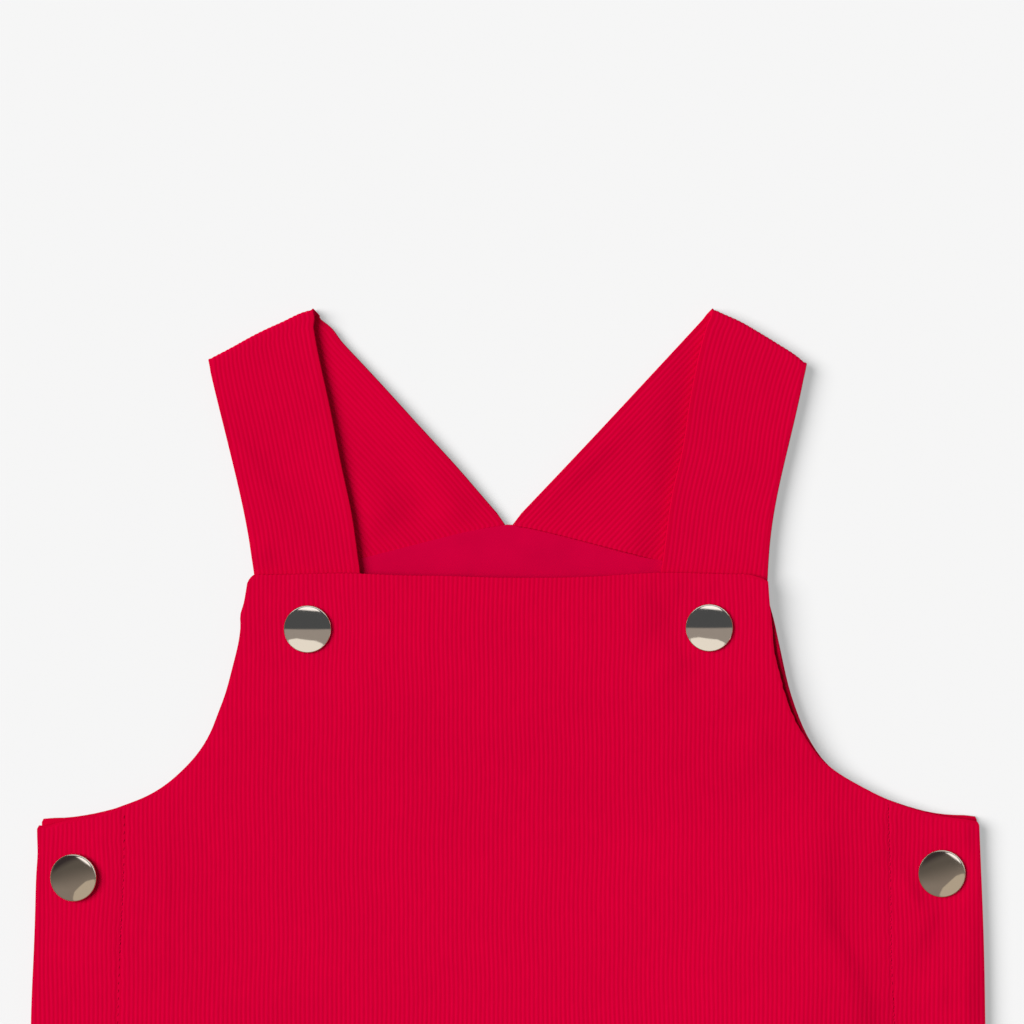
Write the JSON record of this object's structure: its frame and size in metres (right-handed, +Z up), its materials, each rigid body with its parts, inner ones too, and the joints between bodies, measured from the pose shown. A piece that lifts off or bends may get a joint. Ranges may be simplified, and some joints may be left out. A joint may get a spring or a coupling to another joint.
{
  "type": "pinafore dress",
  "caption": "Child's corduroy pinafore dress laid flat: bib front, shoulder straps that meet at the back neckline, and snap caps at the bib and sides.",
  "frame": {"origin": "centre of the object's box in plan, on the surface that the back of the dress lies on", "axes": "+X to the viewer's right across the bib, +Y from the hem to the shoulder folds, +Z up from the surface through the back and then the front"},
  "size_m": [0.3666, 0.5, 0.0088],
  "materials": {
    "corduroy": "red fine-wale cotton corduroy, about 18 wales to the inch, soft cut pile",
    "facing": "smooth plain-weave red cotton",
    "snap_metal": "polished pale-gold plated steel, slightly crowned"
  },
  "bodies": {
    "root": {"front_panel": "corduroy", "back_panel": "corduroy", "strap_left": "corduroy", "strap_right": "corduroy", "underlap_left": "corduroy", "underlap_right": "corduroy", "back_facing": "facing", "snap_bib_left": "snap_metal", "snap_bib_right": "snap_metal", "snap_side_left": "snap_metal", "snap_side_right": "snap_metal"}
  },
  "joints": []
}
